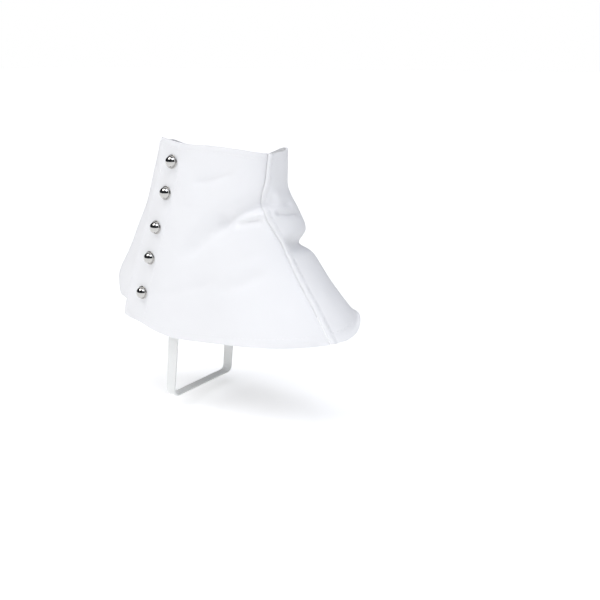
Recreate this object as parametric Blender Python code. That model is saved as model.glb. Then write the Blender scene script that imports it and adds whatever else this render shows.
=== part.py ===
"""A spat for the right foot, as it stands over a low shoe.

Two cloth halves meet in a seam down the front. The outer half laps over the inner one at the back of the
outer side, where five domed press buttons close it, and an elastic strap runs under the shoe's arch.

The tables below measure from the back of the shoe's heel (forward), from the foot's middle line (side) and
from the floor (height), in metres. `placed` turns those into the part's own frame.
"""
import math
from collections import namedtuple

import bmesh
import bpy
import numpy as np

# The part's origin is the wearer's ankle joint. The toe points along -Y and the foot's inner side along +X.
ANKLE_FORWARD = 0.075
ANKLE_HEIGHT = 0.110

# Cloth and the clearances between pieces that touch.
CLOTH = 0.0015
GAP = 0.0003
LIFT = CLOTH + GAP

# Depth of the cloth from its top edge to the hem, down the side.
DEPTH = 0.125

# The closure: the inner half runs on under the outer one by this much.
UNDERLAP = 0.025
HEEL_DROP = 0.0024
CORNER_DROP = 0.0052
CORNER_RISE = 0.0036
FLAP_RISE = 0.0062

# Press buttons: a domed cap on a flat rim. Each has a row: down as below, and how far it sits ahead of the
# outer half's back edge.
BUTTON_DIAMETER = 0.0095
BUTTON_HEIGHT = 0.0046
BUTTON_RIM = 0.0008
BUTTON_GROOVE = 0.0005
BUTTON_BEVEL = 0.00025
BUTTON_SEGMENTS = 28
Button = namedtuple("Button", "down inset")
BUTTONS = (
    Button(0.095, 0.0133),
    Button(0.260, 0.0130),
    Button(0.450, 0.0126),
    Button(0.625, 0.0155),
    Button(0.830, 0.0177),
)

# Elastic strap: sewn inside the hem on both sides and pulled narrower under the shoe.
STRAP_WIDTH = 0.0080
STRAP_WIDTH_BELOW = 0.0069
STRAP_THICK = 0.0012
STRAP_FORWARD = 0.0890
STRAP_FORWARD_BELOW = 0.0850
STRAP_SIDE = 0.0345
STRAP_FLOOR = 0.0085
STRAP_CORNER = 0.0055
STRAP_TUCK = 0.0100

# Mesh density: rows down the cloth, and columns in each stretch round it.
ROWS = 34
OUTER_COLUMNS = 26
LAP_COLUMNS = 7
INNER_COLUMNS = 44

# Sections round the spat, from the top edge (down 0) to the hem (down 1). back, front: the ends of the
# section. outer, inner: its half widths. Each has its height. widest: where the half widths are measured.
# blunt: how square the front is (2 is an ellipse). waist: how much the sides pull in at the arch.
# dip: how far the sides hang down at the strap. peak: how far the front's inner corner stands up, and
# peak_at: at which angle.
# seam, lap: side of the front seam and of the lap edge.
Section = namedtuple(
    "Section",
    "down back back_z front front_z outer outer_z inner inner_z widest blunt waist dip peak peak_at seam lap",
)
SECTIONS = (
    Section(0.00, 0.0655, 0.1866, 0.1568, 0.1820, 0.0290, 0.1872, 0.0250, 0.1742,
            0.103, 3.0, 0.00, 0.0000, 0.0028, -0.80, 0.0124, 0.0250),
    Section(0.16, 0.0597, 0.1694, 0.1568, 0.1610, 0.0300, 0.1665, 0.0275, 0.1585,
            0.099, 2.8, 0.00, 0.0000, 0.0010, -0.80, 0.0146, 0.0271),
    Section(0.32, 0.0539, 0.1509, 0.1660, 0.1425, 0.0320, 0.1460, 0.0310, 0.1410,
            0.096, 2.6, 0.00, 0.0000, 0.0000, -0.80, 0.0198, 0.0284),
    Section(0.50, 0.0432, 0.1300, 0.1740, 0.1205, 0.0345, 0.1230, 0.0345, 0.1190,
            0.099, 2.5, 0.00, 0.0000, 0.0000, -0.80, 0.0154, 0.0298),
    Section(0.70, 0.0302, 0.1068, 0.1880, 0.1015, 0.0370, 0.0980, 0.0375, 0.0955,
            0.112, 2.3, 0.03, 0.0015, 0.0000, -0.70, 0.0170, 0.0293),
    Section(0.90, 0.0190, 0.0850, 0.2053, 0.0802, 0.0400, 0.0720, 0.0405, 0.0715,
            0.132, 2.1, 0.07, 0.0045, 0.0022, -0.62, 0.0187, 0.0296),
    Section(1.00, 0.0205, 0.0745, 0.2142, 0.0644, 0.0415, 0.0592, 0.0420, 0.0590,
            0.142, 1.95, 0.09, 0.0065, 0.0110, -0.60, 0.0180, 0.0274),
)
OUTER_BACK_BLUNT = 2.5
INNER_BACK_BLUNT = 2.1
INNER_BACK_FALL = 1.3
INNER_FRONT_FALL = 4
PEAK_REACH = 0.50
TURN = 2 * math.pi
ARCH_FORWARD = 0.088
ARCH_REACH = 0.038

# Folds, each on a curve through three places. angle: round the spat in degrees, 0 at the front, 90 at the
# outer side and -90 at the inner side. down: as in the sections. height: out of the cloth, or into it where
# it is negative. above, below: the reach to each side.
Fold = namedtuple("Fold", "angle_1 down_1 angle_2 down_2 angle_3 down_3 height above below")
FOLDS = (
    Fold(3, 0.243, 43, 0.286, 77, 0.450, -0.0058, 0.0062, 0.0042),
    Fold(58, 0.355, 75, 0.440, 95, 0.630, -0.0036, 0.0066, 0.0056),
    Fold(-62, 0.470, -20, 0.476, 22, 0.452, -0.0070, 0.0042, 0.0064),
    Fold(-80, 0.400, -32, 0.395, 16, 0.380, 0.0010, 0.0080, 0.0080),
    Fold(-90, 0.300, -62, 0.270, -35, 0.245, -0.0018, 0.0060, 0.0060),
    Fold(-75, 0.300, -92, 0.410, -110, 0.520, -0.0040, 0.0090, 0.0090),
    Fold(86, 0.200, 72, 0.158, 50, 0.092, -0.0015, 0.0026, 0.0032),
    Fold(120, 0.845, 98, 0.758, 72, 0.645, -0.0017, 0.0060, 0.0050),
    Fold(86, 0.750, 66, 0.700, 40, 0.608, -0.0013, 0.0052, 0.0048),
    Fold(168, 0.560, 184, 0.575, 204, 0.630, -0.0011, 0.0040, 0.0048),
    Fold(-128, 0.780, -104, 0.730, -82, 0.690, -0.0013, 0.0058, 0.0058),
)
FOLD_STEPS = 24
FOLD_FADE = 0.28


def placed(forward, side, height):
    """A point in the part's frame, from its place on the foot; side is towards the foot's inner side."""
    return np.stack([side, ANKLE_FORWARD - forward, height - ANKLE_HEIGHT], axis=-1)


def slopes(knots, values):
    """Slopes of a smooth curve through the values, which doesn't overshoot between equal ones."""
    step = np.diff(knots)
    rise = np.diff(values) / step
    mean = (rise[:-1] * step[1:] + rise[1:] * step[:-1]) / (step[:-1] + step[1:])
    inner = np.where(rise[:-1] * rise[1:] > 0, mean, 0)
    return np.concatenate([rise[:1], inner, rise[-1:]])


KNOTS = np.array([section.down for section in SECTIONS])


def section_at(down):
    """Every column of the section table at these values of down, as a dict of arrays."""
    down = np.asarray(down, float)
    cell = np.clip(np.searchsorted(KNOTS, down, side="right") - 1, 0, len(KNOTS) - 2)
    width = KNOTS[cell + 1] - KNOTS[cell]
    t = (down - KNOTS[cell]) / width
    found = {}
    for name in Section._fields[1:]:
        values = np.array([getattr(section, name) for section in SECTIONS])
        slope = slopes(KNOTS, values)
        smooth = (
            values[cell] * (1 + 2 * t) * (1 - t) ** 2
            + slope[cell] * width * t * (1 - t) ** 2
            + values[cell + 1] * t**2 * (3 - 2 * t)
            + slope[cell + 1] * width * t**2 * (t - 1)
        )
        straight = values[cell + 1] + slope[cell + 1] * width * (t - 1)
        found[name] = np.where(t > 1, straight, smooth)
    return found


def base_point(angle, down):
    """The cloth's outer face without folds, at an angle in radians and a value of down."""
    s = section_at(down)
    c, sn = np.cos(angle), np.sin(angle)
    blunt = np.where(c > 0, s["blunt"], np.where(sn > 0, OUTER_BACK_BLUNT, INNER_BACK_BLUNT))
    reach = np.where(c > 0, s["front"] - s["widest"], s["widest"] - s["back"])
    half = np.where(sn > 0, s["outer"], s["inner"])
    forward = s["widest"] + reach * np.sign(c) * np.abs(c) ** (2 / blunt)
    arch = np.exp(-(((forward - ARCH_FORWARD) / ARCH_REACH) ** 2))
    side = -half * np.sign(sn) * np.abs(sn) ** (2 / blunt) * (1 - s["waist"] * arch)
    ends_z = np.where(c > 0, s["front_z"], s["back_z"])
    sides_z = np.where(sn > 0, s["outer_z"], s["inner_z"])
    fall = np.where(sn > 0, 2, np.where(c < 0, INNER_BACK_FALL, INNER_FRONT_FALL))
    share = np.abs(sn) ** fall
    height = ends_z * (1 - share) + sides_z * share - s["dip"] * arch * sn**2
    from_peak = np.remainder(angle - s["peak_at"] + math.pi, TURN) - math.pi
    height = height + s["peak"] * np.exp(-((from_peak / PEAK_REACH) ** 2))
    return placed(forward, side, height)


SMALL_STEP = 0.004


def normal_of(point, angle, down):
    """Outward normals of the surface that `point` gives, by small steps round it and down it."""
    around = point(angle + SMALL_STEP, down) - point(angle - SMALL_STEP, down)
    along = point(angle, down + SMALL_STEP) - point(angle, down - SMALL_STEP)
    normal = np.cross(around, along)
    return normal / np.linalg.norm(normal, axis=-1, keepdims=True)


def smooth_step(value):
    t = np.clip(value, 0, 1)
    return t * t * (3 - 2 * t)


def fold_height(points):
    """How far the folds move each point along its normal. Each fold fades out towards both its ends."""
    total = np.zeros(points.shape[:-1])
    for fold in FOLDS:
        t = np.linspace(0, 1, FOLD_STEPS)
        first, middle, last = (1 - t) * (1 - 2 * t), 4 * t * (1 - t), t * (2 * t - 1)
        angle = np.radians(fold.angle_1 * first + fold.angle_2 * middle + fold.angle_3 * last)
        path = base_point(angle, fold.down_1 * first + fold.down_2 * middle + fold.down_3 * last)
        run = np.diff(path, axis=0)
        offset = points[..., None, :] - path[:-1]
        part = np.clip((offset * run).sum(axis=-1) / (run**2).sum(axis=-1), 0, 1)
        away = offset - part[..., None] * run
        distance = np.linalg.norm(away, axis=-1)
        nearest = distance.argmin(axis=-1)[..., None]
        share = (nearest + np.take_along_axis(part, nearest, axis=-1))[..., 0] / (FOLD_STEPS - 1)
        fade = smooth_step(share / FOLD_FADE) * smooth_step((1 - share) / FOLD_FADE)
        rise = np.take_along_axis(away[..., 2], nearest, axis=-1)[..., 0]
        reach = np.where(rise > 0, fold.above, fold.below)
        total += fold.height * fade * np.exp(-((distance.min(axis=-1) / reach) ** 2))
    return total


def cloth_point(angle, down):
    """The cloth's outer face with its folds."""
    base = base_point(angle, down)
    return base + normal_of(base_point, angle, down) * fold_height(base)[..., None]


def angle_of_side(side, half, blunt):
    """The angle from the end of a section at which its half width is this side."""
    return np.arcsin(np.clip(side / half, 0, 1) ** (blunt / 2))


def seam_angle(down):
    """Where the outer half ends, at the front seam."""
    s = section_at(down)
    return angle_of_side(s["seam"], s["outer"], s["blunt"])


def short_of_seam(down):
    """Where the inner half ends, a gap before the front seam."""
    s = section_at(down)
    return TURN + angle_of_side(s["seam"] - GAP, s["outer"], s["blunt"])


def lap_angle(down):
    """Where the outer half ends, at the back of the outer side."""
    s = section_at(down)
    waist = 1 - s["waist"] * np.exp(-(((s["back"] + UNDERLAP - ARCH_FORWARD) / ARCH_REACH) ** 2))
    return math.pi - angle_of_side(s["lap"], s["outer"] * waist, OUTER_BACK_BLUNT)


MEASURING_STEP = math.radians(0.5)
MEASURING_STEPS = 160


def angle_ahead(down, distance):
    """The angle this far ahead of the lap edge, measured round the cloth."""
    angle = lap_angle(down)
    start = angle.copy()
    gone = np.zeros_like(angle)
    last = base_point(angle, down)
    for _ in range(MEASURING_STEPS):
        short = gone < distance
        angle = np.where(short, angle - MEASURING_STEP, angle)
        here = base_point(angle, down)
        gone = gone + np.where(short, np.linalg.norm(here - last, axis=-1), 0)
        last = here
    over = (gone - distance) / np.maximum(gone, 1e-9)
    return angle + (start - angle) * over


def underlap_angle(down):
    """Where the inner half ends, under the outer one."""
    return angle_ahead(down, UNDERLAP)


SHARP_EDGE = math.radians(50)


def shell(name, outside, inside, material):
    """A closed wall from a grid of points on its outer face and one on its inner face."""
    rows, columns = outside.shape[:2]
    mesh = bmesh.new()
    faces = [[[mesh.verts.new(p) for p in row] for row in grid] for grid in (outside, inside)]
    for side, flip in zip(faces, (False, True)):
        for r in range(rows - 1):
            for c in range(columns - 1):
                corners = (side[r][c], side[r + 1][c], side[r + 1][c + 1], side[r][c + 1])
                mesh.faces.new(corners[::-1] if flip else corners)
    rim = [(0, c) for c in range(columns - 1)]
    rim += [(r, columns - 1) for r in range(rows - 1)]
    rim += [(rows - 1, c) for c in range(columns - 1, 0, -1)]
    rim += [(r, 0) for r in range(rows - 1, 0, -1)]
    for (r, c), (r2, c2) in zip(rim, rim[1:] + rim[:1]):
        mesh.faces.new((faces[0][r][c], faces[0][r2][c2], faces[1][r2][c2], faces[1][r][c]))
    bmesh.ops.recalc_face_normals(mesh, faces=mesh.faces)
    return finished(name, mesh, material)


def finished(name, mesh, material):
    data = bpy.data.meshes.new(name)
    mesh.to_mesh(data)
    mesh.free()
    data.shade_smooth()
    data.set_sharp_from_angle(angle=SHARP_EDGE)
    data.materials.append(material)
    made = bpy.data.objects.new(name, data)
    bpy.context.scene.collection.objects.link(made)
    return made


def finish_material(name, colour, roughness, metallic=0.0):
    material = bpy.data.materials.new(name)
    material.use_nodes = True
    shader = material.node_tree.nodes["Principled BSDF"]
    shader.inputs["Base Color"].default_value = (*colour, 1)
    shader.inputs["Roughness"].default_value = roughness
    shader.inputs["Metallic"].default_value = metallic
    return material


def panel(name, starts, ends, columns, top_end, hem_end, lift, material):
    """One cloth half. starts, ends: functions of down that give its first and last column's angle, one pair
    for each stretch. top_end, hem_end: down at the top and at the hem for each column. lift: how far each
    column stands off the surface."""
    share = np.concatenate([np.linspace(i, i + 1, n + 1)[(i > 0) :] for i, n in enumerate(columns)])
    top, hem = top_end(share), hem_end(share)
    down = top + np.linspace(0, 1, ROWS + 1)[:, None] * (hem - top)
    angle = np.zeros_like(down)
    for i, (start, end) in enumerate(zip(starts, ends)):
        here = (share >= i) & (share <= i + 1)
        part = (share[here] - i)[None, :]
        angle[:, here] = start(down[:, here]) * (1 - part) + end(down[:, here]) * part
    normal = normal_of(cloth_point, angle, down)
    outside = cloth_point(angle, down) + normal * lift(share)[None, :, None]
    return shell(name, outside, outside - normal * CLOTH, material)


# The outer half begins to rise over the underlap, and its hem to drop, in its last quarter before the lap.
RISE_FROM = 0.72
RISE_OVER = 0.26
DROP_OVER = 0.30
FLAP_RISE_OVER = 0.10


def unmoved(share):
    return np.zeros_like(share)


def outer_panel(material):
    def top_end(share):
        return -CORNER_RISE / DEPTH * np.clip(share - 1, 0, 1)

    def hem_end(share):
        near = smooth_step((share - RISE_FROM) / DROP_OVER)
        return 1 + (HEEL_DROP * near + CORNER_DROP * smooth_step(share - 1)) / DEPTH

    def lift(share):
        return LIFT * smooth_step((share - RISE_FROM) / RISE_OVER)

    starts, ends = (seam_angle, underlap_angle), (underlap_angle, lap_angle)
    panel("outer_panel", starts, ends, (OUTER_COLUMNS, LAP_COLUMNS), top_end, hem_end, lift, material)


def inner_panel(material):
    def hem_end(share):
        return 1 - FLAP_RISE / DEPTH * (1 - smooth_step((share - 1) / FLAP_RISE_OVER))

    starts, ends = (underlap_angle, lap_angle), (lap_angle, short_of_seam)
    panel("inner_panel", starts, ends, (LAP_COLUMNS, INNER_COLUMNS), unmoved, hem_end, unmoved, material)


def angle_at_forward(forward, down, outer):
    """The angle on one side of the spat at which the cloth is this far forward of the heel."""
    turns = np.linspace(0, math.pi, 361)
    found = []
    for f, d in zip(np.ravel(forward), np.ravel(down)):
        ring = base_point(turns if outer else -turns, np.full_like(turns, d))
        ahead = ANKLE_FORWARD - ring[:, 1]
        found.append(np.interp(-f, -ahead, turns))
    found = np.reshape(found, np.shape(forward))
    return found if outer else -found


STRAP_PLACES = np.linspace(0.5, -0.5, 5)


def sewn_end(outer):
    """The strap's outer face where it lies inside the hem, and its normals."""
    down = np.linspace(1 - STRAP_TUCK / DEPTH, 1, 5)[:, None] + 0 * STRAP_PLACES
    angle = angle_at_forward(STRAP_FORWARD + STRAP_WIDTH * STRAP_PLACES + 0 * down, down, outer)
    normal = normal_of(cloth_point, angle, down)
    return cloth_point(angle, down) - normal * LIFT, normal


def strap_side(end, drop):
    """One side of the strap's free run, as side and height: straight down from the hem, then a bend."""
    bend = np.linspace(0, math.pi / 2, 7)
    bend_side = STRAP_SIDE - STRAP_CORNER * (1 - np.cos(bend))
    bend_height = STRAP_FLOOR + STRAP_CORNER * (1 - np.sin(bend))
    middle = end[-1].mean(axis=0)
    from_side, from_height = abs(middle[0]), middle[2] + ANKLE_HEIGHT
    side = np.concatenate([from_side + (STRAP_SIDE - from_side) * drop, bend_side])
    height = np.concatenate([from_height + (bend_height[0] - from_height) * drop, bend_height])
    return side, height


def strap(material):
    """The elastic strap, from inside the hem on the outer side to inside the hem on the inner side."""
    outer, outer_normal = sewn_end(True)
    inner, inner_normal = sewn_end(False)
    drop = np.linspace(0, 1, 7)[1:-1]
    outer_side, outer_height = strap_side(outer, drop)
    inner_side, inner_height = strap_side(inner, drop)
    side = np.concatenate([-outer_side, inner_side[::-1]])
    height = np.concatenate([outer_height, inner_height[::-1]])
    along = np.gradient(np.stack([side, height], axis=1), axis=0)
    along /= np.linalg.norm(along, axis=1, keepdims=True)
    low = np.concatenate([drop, np.ones(len(side) - 2 * len(drop)), drop[::-1]])
    width = STRAP_WIDTH + (STRAP_WIDTH_BELOW - STRAP_WIDTH) * low
    forward = STRAP_FORWARD + (STRAP_FORWARD_BELOW - STRAP_FORWARD) * low
    whole = np.ones_like(STRAP_PLACES)
    free = placed(
        forward[:, None] + width[:, None] * STRAP_PLACES, side[:, None] * whole, height[:, None] * whole
    )
    away = np.stack([along[:, 1], 0 * side, -along[:, 0]], axis=1)[:, None, :] * whole[None, :, None]
    outside = np.concatenate([outer, free, inner[::-1]])
    normal = np.concatenate([outer_normal, away, inner_normal[::-1]])
    return shell("strap", outside, outside - normal * STRAP_THICK, material)


def button_outline():
    """Half the button's section, as radius and height: a rim with small bevels, a groove and a dome."""
    radius = BUTTON_DIAMETER / 2
    outline = [
        (radius - BUTTON_BEVEL, 0),
        (radius, BUTTON_BEVEL),
        (radius, BUTTON_RIM - BUTTON_BEVEL),
        (radius - BUTTON_BEVEL, BUTTON_RIM),
    ]
    dome, rise = radius - BUTTON_GROOVE, BUTTON_HEIGHT - BUTTON_RIM
    for turn in np.linspace(0, math.pi / 2, 8)[:-1]:
        outline.append((dome * math.cos(turn), BUTTON_RIM + rise * math.sin(turn)))
    return outline


def button(number, row, material):
    """A domed cap that stands on the outer half."""
    down = np.array([row.down])
    angle = angle_ahead(down, row.inset)
    normal = normal_of(cloth_point, angle, down)[0]
    centre = cloth_point(angle, down)[0] + normal * (LIFT + GAP)
    up = np.cross(normal, np.array([0.0, 1.0, 0.0]))
    up /= np.linalg.norm(up)
    sideways = np.cross(up, normal)
    mesh = bmesh.new()
    rings = []
    for r, h in button_outline():
        ring = []
        for k in range(BUTTON_SEGMENTS):
            turn = TURN * k / BUTTON_SEGMENTS
            point = centre + normal * h + (up * math.cos(turn) + sideways * math.sin(turn)) * r
            ring.append(mesh.verts.new(point))
        rings.append(ring)
    top = mesh.verts.new(centre + normal * BUTTON_HEIGHT)
    for low, high in zip(rings, rings[1:]):
        for k in range(BUTTON_SEGMENTS):
            j = (k + 1) % BUTTON_SEGMENTS
            mesh.faces.new((low[k], low[j], high[j], high[k]))
    for k in range(BUTTON_SEGMENTS):
        mesh.faces.new((rings[-1][k], rings[-1][(k + 1) % BUTTON_SEGMENTS], top))
    mesh.faces.new(rings[0])
    bmesh.ops.recalc_face_normals(mesh, faces=mesh.faces)
    return finished("button_%d" % number, mesh, material)


def main():
    for old in list(bpy.data.objects):
        bpy.data.objects.remove(old)
    outer_panel(finish_material("white_cotton_outer", (0.86, 0.86, 0.89), 0.9))
    inner_panel(finish_material("white_cotton_inner", (0.86, 0.86, 0.89), 0.9))
    strap(finish_material("white_elastic", (0.84, 0.85, 0.83), 0.8))
    for number, row in enumerate(BUTTONS, 1):
        button(number, row, finish_material("nickel_%d" % number, (0.72, 0.70, 0.66), 0.22, 1.0))


main()
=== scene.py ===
import math
from collections import namedtuple

import bmesh
import bpy
import numpy as np
from mathutils import Matrix, Vector


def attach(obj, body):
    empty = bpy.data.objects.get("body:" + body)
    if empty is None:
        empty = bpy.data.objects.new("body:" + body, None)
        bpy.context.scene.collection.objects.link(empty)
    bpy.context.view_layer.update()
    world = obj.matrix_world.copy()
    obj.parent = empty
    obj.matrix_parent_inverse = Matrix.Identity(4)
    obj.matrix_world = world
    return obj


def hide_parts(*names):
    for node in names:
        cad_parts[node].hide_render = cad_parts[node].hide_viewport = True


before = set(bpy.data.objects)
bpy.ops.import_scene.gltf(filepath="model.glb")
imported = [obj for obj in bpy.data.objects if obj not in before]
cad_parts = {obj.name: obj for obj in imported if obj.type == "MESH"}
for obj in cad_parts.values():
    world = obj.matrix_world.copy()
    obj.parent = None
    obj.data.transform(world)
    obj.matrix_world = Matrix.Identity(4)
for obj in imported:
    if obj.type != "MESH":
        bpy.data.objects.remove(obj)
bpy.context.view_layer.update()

# Outer half: white cotton drill, cut to the ankle and the instep and sewn to the inner half down the front.
# Its edges are turned under and topstitched, and a facing behind its back edge carries the press buttons.
# A place on the cloth is a turn round the leg from the front and a distance down from the top edge.
ANKLE_FORWARD = 0.075
ANKLE_HEIGHT = 0.110
CLOTH = 0.0015
GAP = 0.0003
LIFT = CLOTH + GAP
DEPTH = 0.125
UNDERLAP = 0.025
HEEL_DROP = 0.0024
CORNER_DROP = 0.0052
CORNER_RISE = 0.0036
TURN = 2 * math.pi

# Sections round the spat, from the top edge (down 0) to the hem (down 1): its ends and half widths with the
# height of each, then its widest place, squareness, waist, dip, peak and the turn it is at, and the sides of
# the seam and the lap.
Section = namedtuple(
    "Section",
    "down back back_z front front_z outer outer_z inner inner_z widest blunt waist dip peak peak_at seam lap",
)
SECTIONS = (
    Section(0.00, 0.0655, 0.1866, 0.1568, 0.1820, 0.0290, 0.1872, 0.0250, 0.1742,
            0.103, 3.0, 0.00, 0.0000, 0.0028, -0.80, 0.0124, 0.0250),
    Section(0.16, 0.0597, 0.1694, 0.1568, 0.1610, 0.0300, 0.1665, 0.0275, 0.1585,
            0.099, 2.8, 0.00, 0.0000, 0.0010, -0.80, 0.0146, 0.0271),
    Section(0.32, 0.0539, 0.1509, 0.1660, 0.1425, 0.0320, 0.1460, 0.0310, 0.1410,
            0.096, 2.6, 0.00, 0.0000, 0.0000, -0.80, 0.0198, 0.0284),
    Section(0.50, 0.0432, 0.1300, 0.1740, 0.1205, 0.0345, 0.1230, 0.0345, 0.1190,
            0.099, 2.5, 0.00, 0.0000, 0.0000, -0.80, 0.0154, 0.0298),
    Section(0.70, 0.0302, 0.1068, 0.1880, 0.1015, 0.0370, 0.0980, 0.0375, 0.0955,
            0.112, 2.3, 0.03, 0.0015, 0.0000, -0.70, 0.0170, 0.0293),
    Section(0.90, 0.0190, 0.0850, 0.2053, 0.0802, 0.0400, 0.0720, 0.0405, 0.0715,
            0.132, 2.1, 0.07, 0.0045, 0.0022, -0.62, 0.0187, 0.0296),
    Section(1.00, 0.0205, 0.0745, 0.2142, 0.0644, 0.0415, 0.0592, 0.0420, 0.0590,
            0.142, 1.95, 0.09, 0.0065, 0.0110, -0.60, 0.0180, 0.0274),
)
OUTER_BACK_BLUNT = 2.5
INNER_BACK_BLUNT = 2.1
INNER_BACK_FALL = 1.3
INNER_FRONT_FALL = 4
PEAK_REACH = 0.50
ARCH_FORWARD = 0.088
ARCH_REACH = 0.038

# Creases, each on a curve through three places on the cloth: turn in degrees, 0 at the front and 90 at the
# outer side, and down. A negative height goes into the cloth. above, below: the reach to each side.
Crease = namedtuple("Crease", "turn_1 down_1 turn_2 down_2 turn_3 down_3 height above below")
CREASES = (
    Crease(3, 0.243, 43, 0.286, 77, 0.450, -0.0061, 0.0066, 0.0042),
    Crease(58, 0.355, 75, 0.440, 95, 0.630, -0.0039, 0.0072, 0.0062),
    Crease(24, 0.312, 42, 0.322, 60, 0.360, 0.0010, 0.0028, 0.0026),
    Crease(32, 0.333, 48, 0.362, 64, 0.396, -0.0023, 0.0016, 0.0034),
    Crease(-62, 0.470, -20, 0.476, 22, 0.452, -0.0070, 0.0042, 0.0064),
    Crease(-80, 0.400, -32, 0.395, 16, 0.380, 0.0010, 0.0080, 0.0080),
    Crease(22, 0.304, 4, 0.320, -24, 0.346, -0.0026, 0.0026, 0.0018),
    Crease(20, 0.243, 8, 0.257, -8, 0.276, -0.0018, 0.0028, 0.0022),
    Crease(-90, 0.300, -62, 0.270, -35, 0.245, -0.0018, 0.0060, 0.0060),
    Crease(-75, 0.300, -92, 0.410, -110, 0.520, -0.0040, 0.0090, 0.0090),
    Crease(-56, 0.326, -70, 0.352, -86, 0.414, -0.0009, 0.0018, 0.0032),
    Crease(86, 0.200, 72, 0.158, 50, 0.092, -0.0015, 0.0026, 0.0032),
    Crease(120, 0.845, 98, 0.758, 72, 0.645, -0.0017, 0.0060, 0.0050),
    Crease(86, 0.750, 66, 0.700, 40, 0.608, -0.0013, 0.0052, 0.0048),
    Crease(74, 0.620, 56, 0.560, 36, 0.495, -0.0005, 0.0040, 0.0044),
    Crease(168, 0.560, 184, 0.575, 204, 0.630, -0.0011, 0.0040, 0.0048),
    Crease(-128, 0.780, -104, 0.730, -82, 0.690, -0.0013, 0.0058, 0.0058),
    Crease(-98, 0.185, -78, 0.140, -60, 0.120, -0.0008, 0.0034, 0.0040),
)
CREASE_STEPS = 24
CREASE_FADE = 0.28


def slopes(knots, values):
    """Slopes of a smooth curve through the values, which doesn't overshoot between equal ones."""
    step = np.diff(knots)
    rise = np.diff(values) / step
    mean = (rise[:-1] * step[1:] + rise[1:] * step[:-1]) / (step[:-1] + step[1:])
    inner = np.where(rise[:-1] * rise[1:] > 0, mean, 0)
    return np.concatenate([rise[:1], inner, rise[-1:]])


def section_at(down):
    """Every column of the section table at these values of down."""
    knots = np.array([section.down for section in SECTIONS])
    cell = np.clip(np.searchsorted(knots, down, side="right") - 1, 0, len(knots) - 2)
    width = knots[cell + 1] - knots[cell]
    t = (down - knots[cell]) / width
    found = {}
    for name in Section._fields[1:]:
        values = np.array([getattr(section, name) for section in SECTIONS])
        slope = slopes(knots, values)
        smooth = (
            values[cell] * (1 + 2 * t) * (1 - t) ** 2
            + slope[cell] * width * t * (1 - t) ** 2
            + values[cell + 1] * t**2 * (3 - 2 * t)
            + slope[cell + 1] * width * t**2 * (t - 1)
        )
        straight = values[cell + 1] + slope[cell + 1] * width * (t - 1)
        found[name] = np.where(t > 1, straight, smooth)
    return found


def form_point(turn, down):
    """The cloth's outer face without creases, at a turn in radians and a value of down."""
    s = section_at(down)
    c, sn = np.cos(turn), np.sin(turn)
    blunt = np.where(c > 0, s["blunt"], np.where(sn > 0, OUTER_BACK_BLUNT, INNER_BACK_BLUNT))
    reach = np.where(c > 0, s["front"] - s["widest"], s["widest"] - s["back"])
    half = np.where(sn > 0, s["outer"], s["inner"])
    forward = s["widest"] + reach * np.sign(c) * np.abs(c) ** (2 / blunt)
    arch = np.exp(-(((forward - ARCH_FORWARD) / ARCH_REACH) ** 2))
    side = -half * np.sign(sn) * np.abs(sn) ** (2 / blunt) * (1 - s["waist"] * arch)
    ends_z = np.where(c > 0, s["front_z"], s["back_z"])
    sides_z = np.where(sn > 0, s["outer_z"], s["inner_z"])
    fall = np.where(sn > 0, 2, np.where(c < 0, INNER_BACK_FALL, INNER_FRONT_FALL))
    share = np.abs(sn) ** fall
    height = ends_z * (1 - share) + sides_z * share - s["dip"] * arch * sn**2
    from_peak = np.remainder(turn - s["peak_at"] + math.pi, TURN) - math.pi
    height = height + s["peak"] * np.exp(-((from_peak / PEAK_REACH) ** 2))
    return np.stack([side, ANKLE_FORWARD - forward, height - ANKLE_HEIGHT], axis=-1)


SMALL_STEP = 0.004


def form_normal(turn, down):
    """Outward normals of the form, by small steps round it and down it."""
    around = form_point(turn + SMALL_STEP, down) - form_point(turn - SMALL_STEP, down)
    along = form_point(turn, down + SMALL_STEP) - form_point(turn, down - SMALL_STEP)
    normal = np.cross(around, along)
    return normal / np.linalg.norm(normal, axis=-1, keepdims=True)


def smooth_step(value):
    t = np.clip(value, 0, 1)
    return t * t * (3 - 2 * t)


def crease_height(points):
    """How far the creases move each point of the form. Each crease fades out towards both its ends."""
    total = np.zeros(points.shape[:-1])
    for crease in CREASES:
        t = np.linspace(0, 1, CREASE_STEPS)
        first, middle, last = (1 - t) * (1 - 2 * t), 4 * t * (1 - t), t * (2 * t - 1)
        turn = np.radians(crease.turn_1 * first + crease.turn_2 * middle + crease.turn_3 * last)
        path = form_point(turn, crease.down_1 * first + crease.down_2 * middle + crease.down_3 * last)
        run = np.diff(path, axis=0)
        offset = points[..., None, :] - path[:-1]
        part = np.clip((offset * run).sum(axis=-1) / (run**2).sum(axis=-1), 0, 1)
        away = offset - part[..., None] * run
        distance = np.linalg.norm(away, axis=-1)
        nearest = distance.argmin(axis=-1)[..., None]
        share = (nearest + np.take_along_axis(part, nearest, axis=-1))[..., 0] / (CREASE_STEPS - 1)
        fade = smooth_step(share / CREASE_FADE) * smooth_step((1 - share) / CREASE_FADE)
        rise = np.take_along_axis(away[..., 2], nearest, axis=-1)[..., 0]
        reach = np.where(rise > 0, crease.above, crease.below)
        total += crease.height * fade * np.exp(-((distance.min(axis=-1) / reach) ** 2))
    return total


# Washed cotton is never quite even: slow swells of these lengths and heights run across it.
Swell = namedtuple("Swell", "across forward up height start")
SWELLS = (
    Swell(31.0, 74.0, 96.0, 0.00022, 0.4),
    Swell(-88.0, 49.0, -61.0, 0.00018, 2.1),
    Swell(57.0, -131.0, 152.0, 0.00011, 4.4),
    Swell(96.0, 168.0, -113.0, 0.00009, 1.3),
)


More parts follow.
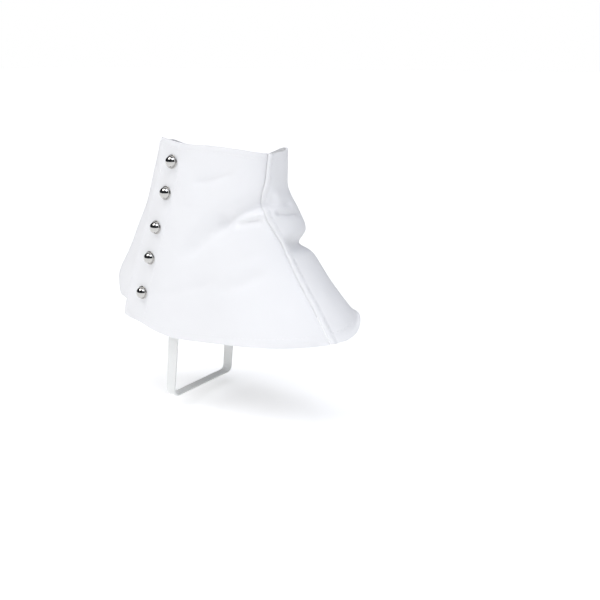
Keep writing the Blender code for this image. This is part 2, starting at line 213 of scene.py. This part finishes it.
def swell_height(points):
    total = np.zeros(points.shape[:-1])
    for swell in SWELLS:
        place = points @ np.array([swell.across, swell.forward, swell.up])
        total += swell.height * np.sin(place + swell.start)
    return total


def angle_of_side(side, half, blunt):
    """The turn from the end of a section at which its half width is this side."""
    return np.arcsin(np.clip(side / half, 0, 1) ** (blunt / 2))


def seam_turn(down, short=0.0):
    """Where the front seam runs. short: how far the cloth stops before it, on its inner side."""
    s = section_at(down)
    return angle_of_side(s["seam"] - short, s["outer"], s["blunt"])


def lap_turn(down):
    """Where the outer half ends, at the back of the outer side."""
    s = section_at(down)
    waist = 1 - s["waist"] * np.exp(-(((s["back"] + UNDERLAP - ARCH_FORWARD) / ARCH_REACH) ** 2))
    return math.pi - angle_of_side(s["lap"], s["outer"] * waist, OUTER_BACK_BLUNT)


MEASURING_STEP = math.radians(0.5)
MEASURING_STEPS = 160


def turn_ahead(down, distance):
    """The turn this far ahead of the lap edge, measured round the cloth."""
    turn = lap_turn(down)
    start = turn.copy()
    gone = np.zeros_like(turn)
    last = form_point(turn, down)
    for _ in range(MEASURING_STEPS):
        short = gone < distance
        turn = np.where(short, turn - MEASURING_STEP, turn)
        here = form_point(turn, down)
        gone = gone + np.where(short, np.linalg.norm(here - last, axis=-1), 0)
        last = here
    over = (gone - distance) / np.maximum(gone, 1e-9)
    return turn + (start - turn) * over


# A turned edge is two more layers of cloth. A stitch line draws the layers together in a groove.
TURNED = 0.00018
TURNED_STEP = 0.0014
GROOVE = 0.00016
GROOVE_WIDTH = 0.0009
TOP_STITCH = 0.0040
HEM_STITCH = 0.0052
LAP_STITCH = 0.0026
FACING_STITCH = 0.0176
FACING_SPREAD = 0.0065


def turned_edge(distance, stitch):
    """How far an edge that is turned under and stitched stands off the cloth, this far in from it."""
    turned = TURNED * (1 - smooth_step((distance - stitch) / TURNED_STEP))
    return turned - GROOVE * np.exp(-(((distance - stitch) / GROOVE_WIDTH) ** 2))


# Towards the front seam the hem curls in, from one turn round the leg over another, and the cloth sinks.
HEM_CURL = 0.0013
HEM_CURL_DEPTH = 0.0046
CURL_FROM = math.radians(95)
CURL_OVER = math.radians(50)
SEAM_SINK = 0.0005
SEAM_SINK_WIDTH = 0.0013
SEAM_EASE = 0.0120


def outer_relief(turn, from_seam, from_lap, from_top, from_hem):
    """The outer half's turned edges, its facing, and how its hem curls in towards the front."""
    edges = np.maximum(turned_edge(from_top, TOP_STITCH), turned_edge(from_hem, HEM_STITCH))
    edges = np.maximum(edges, turned_edge(from_lap, LAP_STITCH))
    facing = turned_edge(from_lap, FACING_STITCH + FACING_SPREAD * from_top / DEPTH)
    front = smooth_step((CURL_FROM - turn) / CURL_OVER) * smooth_step(from_seam / SEAM_EASE)
    curl = HEM_CURL * front * (1 - smooth_step(from_hem / HEM_CURL_DEPTH)) ** 2
    sink = SEAM_SINK * np.exp(-((from_seam / SEAM_SINK_WIDTH) ** 2))
    return edges + facing - curl - sink


RING_PLACES = 801


def closer_at_ends(count, pull=0.45):
    """Shares from 0 to 1, closer together towards both ends, where the turned edges are."""
    t = np.linspace(0, 1, count + 1)
    return t - pull * np.sin(TURN * t) / TURN


Half = namedtuple("Half", "points normals cut")


def laid_out(columns, rows, turn_at, top_at, hem_at, lift_at, relief):
    """A half's outer face: points in rows, evenly spaced round the leg, and their places in its flat cut.
    The functions take a share from 0 to 2 along the half, where 1 is the underlap's end."""
    shares = np.linspace(0, 2, RING_PLACES)
    columns, rows = closer_at_ends(columns), closer_at_ends(rows)
    points = np.zeros((len(rows), len(columns), 3))
    cut = np.zeros((len(rows), len(columns), 2))
    for row, fall in enumerate(rows):
        downs = top_at(shares) + fall * (hem_at(shares) - top_at(shares))
        ring = form_point(turn_at(shares, downs), downs)
        gone = np.concatenate([[0], np.cumsum(np.linalg.norm(np.diff(ring, axis=0), axis=1))])
        along = columns * gone[-1]
        share = np.interp(along, gone, shares)
        top, hem = top_at(share), hem_at(share)
        down = top + fall * (hem - top)
        turn = turn_at(share, down)
        form = form_point(turn, down)
        height = crease_height(form) + swell_height(form) + lift_at(share)
        height += relief(turn, along, gone[-1] - along, (down - top) * DEPTH, (hem - down) * DEPTH)
        points[row] = form + form_normal(turn, down) * height[:, None]
        cut[row] = np.stack([along, down * DEPTH], axis=-1)
    normals = np.cross(np.gradient(points, axis=1), np.gradient(points, axis=0))
    return Half(points, normals / np.linalg.norm(normals, axis=-1, keepdims=True), cut)


EDGE_ROUND = 0.00045
SHARP_EDGE = math.radians(50)


def sewn_up(name, half, material, thickness=CLOTH, rounding=EDGE_ROUND):
    """The piece of cloth: a flat grid set on a half's points, with its cut kept as its UV map."""
    rows, columns = half.points.shape[0] - 1, half.points.shape[1] - 1
    mesh = bmesh.new()
    cut = mesh.loops.layers.uv.new("cut")
    bmesh.ops.create_grid(mesh, x_segments=columns, y_segments=rows, size=0.5)
    place = {}
    for vertex in mesh.verts:
        place[vertex] = (round((0.5 - vertex.co.y) * rows), round((0.5 - vertex.co.x) * columns))
        vertex.co = half.points[place[vertex]]
    for face in mesh.faces:
        face.smooth = True
        for loop in face.loops:
            loop[cut].uv = half.cut[place[loop.vert]]
    piece = added(name, mesh, material)
    wall = piece.modifiers.new("Wall", "SOLIDIFY")
    wall.thickness = thickness
    wall.offset = -1
    edge = piece.modifiers.new("Rounded edge", "BEVEL")
    edge.width = rounding
    edge.segments = 2
    edge.angle_limit = SHARP_EDGE
    return piece


def added(name, mesh, material):
    """A new object in the scene from a finished bmesh."""
    data = bpy.data.meshes.new(name)
    mesh.to_mesh(data)
    mesh.free()
    data.materials.append(material)
    piece = bpy.data.objects.new(name, data)
    bpy.context.scene.collection.objects.link(piece)
    return piece


class Strand:
    """A value on its way through a finish's nodes, worked on like a number."""

    def __init__(self, finish, socket):
        self.finish = finish
        self.socket = socket

    def output(self, name):
        return Strand(self.finish, self.socket.node.outputs[name])

    def worked(self, operation, *values):
        return self.finish.node("ShaderNodeMath", {"operation": operation}, dict(enumerate(values)))

    def __add__(self, other):
        return self.worked("ADD", self, other)

    def __radd__(self, other):
        return self.worked("ADD", other, self)

    def __sub__(self, other):
        return self.worked("SUBTRACT", self, other)

    def __rsub__(self, other):
        return self.worked("SUBTRACT", other, self)

    def __mul__(self, other):
        return self.worked("MULTIPLY", self, other)

    def __rmul__(self, other):
        return self.worked("MULTIPLY", other, self)

    def sine(self):
        return self.worked("SINE", self)


class Finish:
    """A material under construction: its shader's constants, and the nodes that vary it."""

    def __init__(self, name, constants):
        self.material = bpy.data.materials.new(name)
        self.material.use_nodes = True
        self.tree = self.material.node_tree
        self.shader = self.tree.nodes["Principled BSDF"]
        for socket, value in constants.items():
            self.shader.inputs[socket].default_value = value

    def node(self, kind, settings, values, output=0):
        made = self.tree.nodes.new(kind)
        for setting, value in settings.items():
            setattr(made, setting, value)
        for socket, value in values.items():
            self.feed(made.inputs[socket], value)
        return Strand(self, made.outputs[output])

    def feed(self, socket, value):
        if isinstance(value, Strand):
            self.tree.links.new(value.socket, socket)
        else:
            socket.default_value = value

    def noise(self, where, scale, detail=3.0):
        return self.node("ShaderNodeTexNoise", {}, {"Vector": where, "Scale": scale, "Detail": detail})

    def mixed(self, share, low, high):
        """A colour between two, by a share from 0 to 1."""
        return self.node("ShaderNodeMix", {"data_type": "RGBA"}, {0: share, 6: low, 7: high}, output=2)

    def bumped(self, height, distance):
        relief = self.node("ShaderNodeBump", {}, {"Height": height, "Distance": distance, "Strength": 1.0})
        self.feed(self.shader.inputs["Normal"], relief)


THREAD_PITCH = 0.00052
COTTON_SHADE = (0.840, 0.841, 0.851, 1)
COTTON_WHITE = (0.884, 0.884, 0.892, 1)


def cotton_finish(name):
    """White cotton drill: a fine plain weave with a soft nap, and a faint unevenness in its white."""
    finish = Finish(name, {"Sheen Weight": 0.18, "Sheen Roughness": 0.45, "Specular IOR Level": 0.25})
    cut = finish.node("ShaderNodeUVMap", {"uv_map": "cut"}, {})
    around = finish.node("ShaderNodeSeparateXYZ", {}, {"Vector": cut})
    slub = finish.noise(cut, 420.0) - 0.5
    warp = (around * (TURN / THREAD_PITCH) + slub * 1.5).sine()
    weft = (around.output("Y") * (TURN / THREAD_PITCH) + slub * 1.2).sine()
    weave = warp * weft
    nap = finish.noise(cut, 2600.0, 4.0)
    cloud = finish.noise(cut, 34.0, 4.0)
    tone = cloud * 0.75 + weave * 0.06 + nap * 0.20
    finish.feed(finish.shader.inputs["Base Color"], finish.mixed(tone, COTTON_SHADE, COTTON_WHITE))
    finish.feed(finish.shader.inputs["Roughness"], 0.82 + nap * 0.14)
    finish.bumped(weave * 0.5 + nap * 0.8 + slub * 0.5, 0.00006)
    return finish.material


# The end of the underlap is measured at these values of down, from a little above the cloth to below it.
DOWNS = np.linspace(-0.04, 1.08, 57)
UNDERLAP_TURNS = turn_ahead(DOWNS, UNDERLAP)


def outer_turn(share, down):
    start, ahead, lap = seam_turn(down), np.interp(down, DOWNS, UNDERLAP_TURNS), lap_turn(down)
    front = start + (ahead - start) * share
    return np.where(share <= 1, front, ahead + (lap - ahead) * (share - 1))


# The outer half begins to rise over the underlap, and its hem to drop, in its last quarter before the lap.
RISE_FROM = 0.72
RISE_OVER = 0.26
DROP_OVER = 0.30


def outer_top(share):
    return -CORNER_RISE / DEPTH * np.clip(share - 1, 0, 1)


def outer_hem(share):
    near = smooth_step((share - RISE_FROM) / DROP_OVER)
    return 1 + (HEEL_DROP * near + CORNER_DROP * smooth_step(share - 1)) / DEPTH


def outer_lift(share):
    return LIFT * smooth_step((share - RISE_FROM) / RISE_OVER)


OUTER_COLUMNS = 210
OUTER_ROWS = 126
outer_half = laid_out(
    OUTER_COLUMNS, OUTER_ROWS, outer_turn, outer_top, outer_hem, outer_lift, outer_relief
)
outer = sewn_up("outer_cloth", outer_half, cotton_finish("cotton_drill_outer"))
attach(outer, "root")
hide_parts("outer_panel")

# Inner half: the same drill, cut to the foot's inner side and the heel, and run on under the outer half at
# the back. Its seam edge at the front is turned over the outer half's and topstitched as a raised band.
FLAP_RISE = 0.0062
FLAP_RISE_OVER = 0.10
SEAM_GAP = 0.00005
BAND_HEIGHT = 0.0010
BAND_NEAR = 0.0010
BAND_FAR = 0.0022
BAND_FALL = 0.0030
BAND_STITCH = 0.0040
FLARE = 0.0012
FLARE_DEPTH = 0.0042
FLARE_FROM = math.radians(285)
FLARE_OVER = math.radians(40)
Pucker = namedtuple("Pucker", "share rate start")
PUCKERS = (
    Pucker(0.16, 560, 0.0),
    Pucker(0.12, 910, 1.0),
)


def inner_relief(turn, from_flap, from_seam, from_top, from_hem):
    """The inner half's turned edges and the band beside the front seam, which puckers as it was sewn."""
    edges = np.maximum(turned_edge(from_top, TOP_STITCH), turned_edge(from_hem, HEM_STITCH))
    pucker = 1 + sum(wave.share * np.sin(from_top * wave.rate + wave.start) for wave in PUCKERS)
    band = smooth_step(from_seam / BAND_NEAR) * (1 - smooth_step((from_seam - BAND_FAR) / BAND_FALL))
    groove = 0.5 * GROOVE * np.exp(-(((from_seam - BAND_STITCH) / GROOVE_WIDTH) ** 2))
    front = smooth_step((turn - FLARE_FROM) / FLARE_OVER) * smooth_step(from_seam / SEAM_EASE)
    flare = FLARE * front * (1 - smooth_step(from_hem / FLARE_DEPTH)) ** 2
    return edges + BAND_HEIGHT * band * pucker - groove + flare


def inner_turn(share, down):
    ahead, lap = np.interp(down, DOWNS, UNDERLAP_TURNS), lap_turn(down)
    end = TURN + seam_turn(down, SEAM_GAP)
    under = ahead + (lap - ahead) * share
    return np.where(share <= 1, under, lap + (end - lap) * (share - 1))


def inner_hem(share):
    return 1 - FLAP_RISE / DEPTH * (1 - smooth_step((share - 1) / FLAP_RISE_OVER))


def unmoved(share):
    return np.zeros_like(share)


INNER_COLUMNS = 280
INNER_ROWS = 120
inner_half = laid_out(INNER_COLUMNS, INNER_ROWS, inner_turn, unmoved, inner_hem, unmoved, inner_relief)
inner = sewn_up("inner_cloth", inner_half, cotton_finish("cotton_drill_inner"))
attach(inner, "root")
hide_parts("inner_panel")

# Strap: ribbed white elastic, sewn inside the hem on both sides, passing under the shoe in front of its heel.
# It is pulled tight, so it narrows and runs straight down and flat across.
STRAP_WIDTH = 0.0080
STRAP_WIDTH_BELOW = 0.0069
STRAP_THICK = 0.0012
STRAP_FORWARD = 0.0890
STRAP_FORWARD_BELOW = 0.0850
STRAP_SIDE = 0.0345
STRAP_FLOOR = 0.0085
STRAP_CORNER = 0.0055
STRAP_TUCK = 0.0100
STRAP_ROUND = 0.0003
STRAP_STEPS = 180
RIBS = 6
RIB_STEPS = 6
RIB_HEIGHT = 0.00016
SIDE_TURNS = np.linspace(0.3, math.pi - 0.3, 400)

# The share of the strap's length that keeps its full width at each end, and the share it narrows over.
WIDE_END = 0.08
NARROWS_OVER = 0.30


def turn_at_forward(forward, down, outward):
    """The turn on one side of the spat at which the cloth is this far forward of the heel."""
    turns = outward * SIDE_TURNS
    ring = form_point(turns, np.full_like(turns, down))
    return np.interp(-forward, ring[:, 1] - ANKLE_FORWARD, turns)


def strap_route():
    """The strap's middle line, from inside the outer hem to inside the inner one, and its way out."""
    corner = np.linspace(0, math.pi / 2, 9)
    side = STRAP_SIDE - STRAP_CORNER * (1 - np.cos(corner))
    height = STRAP_FLOOR + STRAP_CORNER * (1 - np.sin(corner)) - ANKLE_HEIGHT
    ahead = ANKLE_FORWARD - STRAP_FORWARD_BELOW
    ends = []
    for outward in (1, -1):
        sewn = []
        for down in np.linspace(1 - STRAP_TUCK / DEPTH, 1, 6):
            turn = turn_at_forward(STRAP_FORWARD, down, outward)
            here = np.array([turn]), np.array([down])
            form = form_point(*here)
            inside = crease_height(form) + swell_height(form) - LIFT
            sewn.append((form + form_normal(*here) * inside[:, None])[0])
        straight = np.linspace(0, 1, 12)[1:-1, None]
        last = sewn[-1]
        foot = np.array([-outward * STRAP_SIDE, ahead, height[0]])
        bend = np.stack([-outward * side, 0 * side + ahead, height], axis=1)
        ends.append(np.concatenate([sewn, last + (foot - last) * straight, bend]))
    across = np.linspace(0, 1, 24)[1:-1, None]
    under = ends[0][-1] + (ends[1][-1] - ends[0][-1]) * across
    return np.concatenate([ends[0], under, ends[1][::-1]])


def strap_half():
    """The strap's outer face: ribbed rows along its route, and their places in its flat length."""
    route = strap_route()
    gone = np.concatenate([[0], np.cumsum(np.linalg.norm(np.diff(route, axis=0), axis=1))])
    length = gone[-1]
    shares = np.linspace(0, 1, STRAP_STEPS + 1)
    middle = np.stack([np.interp(shares * length, gone, route[:, k]) for k in range(3)], axis=1)
    along = np.gradient(middle, axis=0)
    along /= np.linalg.norm(along, axis=1, keepdims=True)
    across = np.array([0.0, 1.0, 0.0]) - along * along[:, 1:2]
    across /= np.linalg.norm(across, axis=1, keepdims=True)
    out = np.cross(across, along)
    from_end = np.minimum(shares, 1 - shares)
    low = smooth_step((from_end - WIDE_END) / NARROWS_OVER)
    width = STRAP_WIDTH + (STRAP_WIDTH_BELOW - STRAP_WIDTH) * low
    places = np.linspace(-0.5, 0.5, RIBS * RIB_STEPS + 1)
    rib = RIB_HEIGHT * (np.abs(np.cos(places * math.pi * RIBS)) - 1)
    points = (
        middle[:, None, :]
        + across[:, None, :] * (width[:, None] * places)[..., None]
        + out[:, None, :] * rib[None, :, None]
    )
    cut = np.stack(np.broadcast_arrays(places[None, :] * STRAP_WIDTH, (shares * length)[:, None]), axis=-1)
    return Half(points, np.broadcast_to(out[:, None, :], points.shape), cut)


ELASTIC_PITCH = 0.0006
ELASTIC_SHADE = (0.78, 0.79, 0.775, 1)
ELASTIC_WHITE = (0.86, 0.865, 0.85, 1)


def elastic_finish(name):
    """Ribbed elastic: close threads across the ribs, a little greyer in the grooves."""
    finish = Finish(name, {"Sheen Weight": 0.1, "Specular IOR Level": 0.3})
    cut = finish.node("ShaderNodeUVMap", {"uv_map": "cut"}, {})
    across = finish.node("ShaderNodeSeparateXYZ", {}, {"Vector": cut})
    threads = (across.output("Y") * (TURN / ELASTIC_PITCH)).sine()
    nap = finish.noise(cut, 1900.0, 3.0)
    tone = threads * 0.2 + nap * 0.8
    finish.feed(finish.shader.inputs["Base Color"], finish.mixed(tone, ELASTIC_SHADE, ELASTIC_WHITE))
    finish.feed(finish.shader.inputs["Roughness"], 0.72 + nap * 0.16)
    finish.bumped(threads * 0.6 + nap * 0.6, 0.00007)
    return finish.material


elastic = strap_half()
strap = sewn_up("elastic_strap", elastic, elastic_finish("white_elastic"), STRAP_THICK, STRAP_ROUND)
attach(strap, "root")
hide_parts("strap")

# Stitching: white sewing thread in short even stitches, sunk a little into the cloth. One row holds each
# turned edge, one the facing under the buttons, and one the band beside the front seam. One end of thread is
# left hanging by the strap.
STITCH_PITCH = 0.0031
STITCH_LENGTH = 0.0023
THREAD = 0.00042
THREAD_FLATNESS = 1.3
LOOSE_ROW = 9
LOOSE_END = Vector((-0.0006, 0.0034, -0.0046))


def row_below_top(half, distance):
    """Places and normals along a half, this far below its top edge."""
    found = []
    for column in range(half.points.shape[1]):
        depths = half.cut[:, column, 1]
        found.append([
            [np.interp(depths[0] + distance, depths, values[:, column, k]) for k in range(3)]
            for values in (half.points, half.normals)
        ])
    return np.array(found)


def row_above_hem(half, distance):
    """Places and normals along a half, this far above its hem."""
    found = []
    for column in range(half.points.shape[1]):
        depths = half.cut[:, column, 1]
        found.append([
            [np.interp(depths[-1] - distance, depths, values[:, column, k]) for k in range(3)]
            for values in (half.points, half.normals)
        ])
    return np.array(found)


def row_beside_end(half, distance, spread=0.0):
    """Places and normals down a half, this far before its last edge, and further by spread at the hem."""
    found = []
    for row in range(half.points.shape[0]):
        lengths = half.cut[row, :, 0]
        place = lengths[-1] - distance - spread * half.cut[row, -1, 1] / DEPTH
        found.append([
            [np.interp(place, lengths, values[row, :, k]) for k in range(3)]
            for values in (half.points, half.normals)
        ])
    return np.array(found)


def stitch(mesh, first, last, out):
    """Adds one straight length of thread to the mesh."""
    along = (last - first).normalized()
    across = out.cross(along).normalized()
    turned = Matrix((along, across, along.cross(across))).transposed().to_4x4()
    size = Matrix.Diagonal(((last - first).length, THREAD * THREAD_FLATNESS, THREAD, 1.0))
    place = Matrix.Translation((first + last) / 2) @ turned @ size
    bmesh.ops.create_icosphere(mesh, subdivisions=1, radius=0.5, matrix=place)


def sew(mesh, row, start, end):
    """Adds stitches to the mesh along a row, from start to end before its last place."""
    points, normals = row[:, 0], row[:, 1]
    gone = np.concatenate([[0], np.cumsum(np.linalg.norm(np.diff(points, axis=0), axis=1))])
    for middle in np.arange(start, gone[-1] - end, STITCH_PITCH):
        near, far = middle - STITCH_LENGTH / 2, middle + STITCH_LENGTH / 2
        first, last, out = (
            Vector([np.interp(at, gone, values[:, k]) for k in range(3)])
            for at, values in ((near, points), (far, points), (middle, normals))
        )
        stitch(mesh, first, last, out)


def thread_finish(name):
    """Mercerised thread: a little smoother and brighter than the cloth, with the twist just visible."""
    finish = Finish(name, {"Base Color": (0.88, 0.88, 0.89, 1), "Sheen Weight": 0.1})
    where = finish.node("ShaderNodeTexCoord", {}, {}, output="Object")
    twist = finish.noise(where, 2400.0, 2.0)
    finish.feed(finish.shader.inputs["Roughness"], 0.5 + twist * 0.3)
    finish.bumped(twist, 0.00004)
    return finish.material


sewing = bmesh.new()
sew(sewing, row_below_top(outer_half, TOP_STITCH), start=0.0045, end=0.0028)
sew(sewing, row_above_hem(outer_half, HEM_STITCH), start=0.0035, end=0.0028)
sew(sewing, row_beside_end(outer_half, LAP_STITCH), start=0.0040, end=0.0052)
sew(sewing, row_beside_end(outer_half, FACING_STITCH, FACING_SPREAD), start=0.0040, end=0.0052)
sew(sewing, row_below_top(inner_half, TOP_STITCH), start=0.0270, end=0.0045)
sew(sewing, row_above_hem(inner_half, HEM_STITCH), start=0.0270, end=0.0045)
sew(sewing, row_beside_end(inner_half, BAND_STITCH), start=0.0020, end=0.0020)
strap_corner = Vector(elastic.points[LOOSE_ROW, -1])
stitch(sewing, strap_corner, strap_corner + LOOSE_END, Vector((-1.0, 0.0, 0.0)))
for face in sewing.faces:
    face.smooth = True
stitching = added("stitching", sewing, thread_finish("sewing_thread"))
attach(stitching, "root")

# Press buttons: bright nickel caps, each a drawn dome on a rolled rim, riveted through the outer half and
# its facing and snapped over a stud on the inner half. Five run down the lap, a little unevenly.
BUTTON_RADIUS = 0.00475
BUTTON_HEIGHT = 0.0046
ROLL = 0.00042
DOME_RADIUS = 0.00418
BUTTON_STEPS = 48
ROLL_TURNS = np.radians(np.arange(-70, 131, 25))
DOME_TURNS = np.radians(np.linspace(2, 90, 15))
Button = namedtuple("Button", "down inset")
BUTTONS = (
    Button(0.095, 0.0133),
    Button(0.260, 0.0130),
    Button(0.450, 0.0126),
    Button(0.625, 0.0155),
    Button(0.830, 0.0177),
)


def button_outline():
    """Half the button's section, as radius and height: flat back, rolled rim, groove and dome."""
    outline = [(0.0, -GAP / 2), (BUTTON_RADIUS - ROLL, -GAP / 2)]
    for turn in ROLL_TURNS:
        outline.append((BUTTON_RADIUS - ROLL + ROLL * math.cos(turn), ROLL * (1 + math.sin(turn))))
    rise = BUTTON_HEIGHT - ROLL
    for turn in DOME_TURNS:
        outline.append((DOME_RADIUS * math.cos(turn), ROLL + rise * math.sin(turn)))
    return outline


def press_button(name, seat, up, material):
    """One cap, its outline spun round and set on its seat, standing up out of the cloth."""
    mesh = bmesh.new()
    outline = [mesh.verts.new((radius, 0, height)) for radius, height in button_outline()]
    edges = [mesh.edges.new(pair) for pair in zip(outline, outline[1:])]
    bmesh.ops.spin(
        mesh, geom=outline + edges, cent=(0, 0, 0), axis=(0, 0, 1), dvec=(0, 0, 0), angle=TURN,
        space=Matrix.Identity(4), steps=BUTTON_STEPS, use_merge=True, use_normal_flip=False,
        use_duplicate=False,
    )
    bmesh.ops.remove_doubles(mesh, verts=mesh.verts, dist=0.00001)
    bmesh.ops.recalc_face_normals(mesh, faces=mesh.faces)
    turned = up.to_track_quat("Z", "Y").to_matrix().to_4x4()
    bmesh.ops.transform(mesh, matrix=Matrix.Translation(seat) @ turned, verts=mesh.verts)
    for face in mesh.faces:
        face.smooth = True
    return added(name, mesh, material)


def nickel_finish(name):
    """Bright nickel: nearly a mirror, with fine rubbing that scatters the light a little."""
    finish = Finish(name, {"Base Color": (0.52, 0.51, 0.49, 1), "Metallic": 1.0})
    where = finish.node("ShaderNodeTexCoord", {}, {}, output="Object")
    rubbed = finish.noise(where, 900.0, 5.0)
    finish.feed(finish.shader.inputs["Roughness"], 0.05 + rubbed * 0.10)
    finish.bumped(finish.noise(where, 380.0, 2.0), 0.00002)
    return finish.material


nickel = nickel_finish("bright_nickel")
for number, row in enumerate(BUTTONS, 1):
    line = row_beside_end(outer_half, row.inset)
    heights = [np.interp(flat[-1, 0] - row.inset, flat[:, 0], flat[:, 1]) / DEPTH for flat in outer_half.cut]
    seat = Vector([np.interp(row.down, heights, line[:, 0, k]) for k in range(3)])
    up = Vector([np.interp(row.down, heights, line[:, 1, k]) for k in range(3)]).normalized()
    cap = press_button("press_button_%d" % number, seat, up, nickel)
    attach(cap, "root")
    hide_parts("button_%d" % number)

# Floor, light and camera: a plain pale floor under soft studio light, seen from the outer side, a little
# ahead and a little above, from where the photograph was taken.
AIM = Vector((0.0269, -0.0801, -0.0341))
DISTANCE = 0.65
AZIMUTH = math.radians(-58)
ELEVATION = math.radians(15)
FOCAL_LENGTH = 55.08
SENSOR_WIDTH = 36.0
FLOOR_SIZE = 12.0
LIGHT_SPREAD = math.radians(40)

ground = bmesh.new()
bmesh.ops.create_grid(ground, x_segments=1, y_segments=1, size=FLOOR_SIZE)
bmesh.ops.translate(ground, vec=(0, 0, -ANKLE_HEIGHT), verts=ground.verts)
floor_finish = Finish("pale_floor", {"Base Color": (0.95, 0.95, 0.95, 1), "Roughness": 0.9})
floor_finish.shader.inputs["Emission Color"].default_value = (1, 1, 1, 1)
floor_finish.shader.inputs["Emission Strength"].default_value = 0.40
floor = added("floor", ground, floor_finish.material)


def soft_light(name, way, strength, colour, mirrored):
    """A broad, even light that comes from this way. mirrored: whether it shows in the buttons."""
    lamp = bpy.data.lights.new(name, "SUN")
    lamp.energy = strength
    lamp.color = colour
    lamp.angle = LIGHT_SPREAD
    holder = bpy.data.objects.new(name, lamp)
    holder.visible_glossy = mirrored
    holder.matrix_world = (-Vector(way)).to_track_quat("-Z", "Y").to_matrix().to_4x4()
    bpy.context.scene.collection.objects.link(holder)


soft_light("overhead", (0.0, 0.0, 1.0), 0.54, (0.95, 0.96, 1.0), False)
soft_light("outer_fill", (-0.96, -0.13, 0.26), 0.80, (0.98, 0.985, 1.0), False)
soft_light("high_front", (-0.15, -0.52, 0.84), 1.22, (0.89, 0.92, 1.0), True)
soft_light("high_back", (-0.41, 0.29, 0.87), 1.15, (1.0, 0.99, 0.98), True)

world = bpy.data.worlds.new("studio")
bpy.context.scene.world = world
world.use_nodes = True
nodes = world.node_tree.nodes
room = nodes["Background"]
room.inputs["Color"].default_value = (0.78, 0.87, 1.0, 1)
room.inputs["Strength"].default_value = 0.04
wall = nodes.new("ShaderNodeBackground")
wall.inputs["Color"].default_value = (1, 1, 1, 1)
wall.inputs["Strength"].default_value = 1.0
seen = nodes.new("ShaderNodeLightPath")
either = nodes.new("ShaderNodeMixShader")
links = world.node_tree.links
links.new(seen.outputs["Is Camera Ray"], either.inputs["Fac"])
links.new(room.outputs["Background"], either.inputs[1])
links.new(wall.outputs["Background"], either.inputs[2])
links.new(either.outputs["Shader"], nodes["World Output"].inputs["Surface"])
bpy.context.scene.view_settings.view_transform = "Standard"

forward = Vector((
    -math.sin(AZIMUTH) * math.cos(ELEVATION),
    math.cos(AZIMUTH) * math.cos(ELEVATION),
    -math.sin(ELEVATION),
))
lens = bpy.data.cameras.new("camera")
lens.lens = FOCAL_LENGTH
lens.sensor_width = SENSOR_WIDTH
camera = bpy.data.objects.new("camera", lens)
camera.matrix_world = (
    Matrix.Translation(AIM - forward * DISTANCE) @ forward.to_track_quat("-Z", "Y").to_matrix().to_4x4()
)
bpy.context.scene.collection.objects.link(camera)
bpy.context.scene.camera = camera
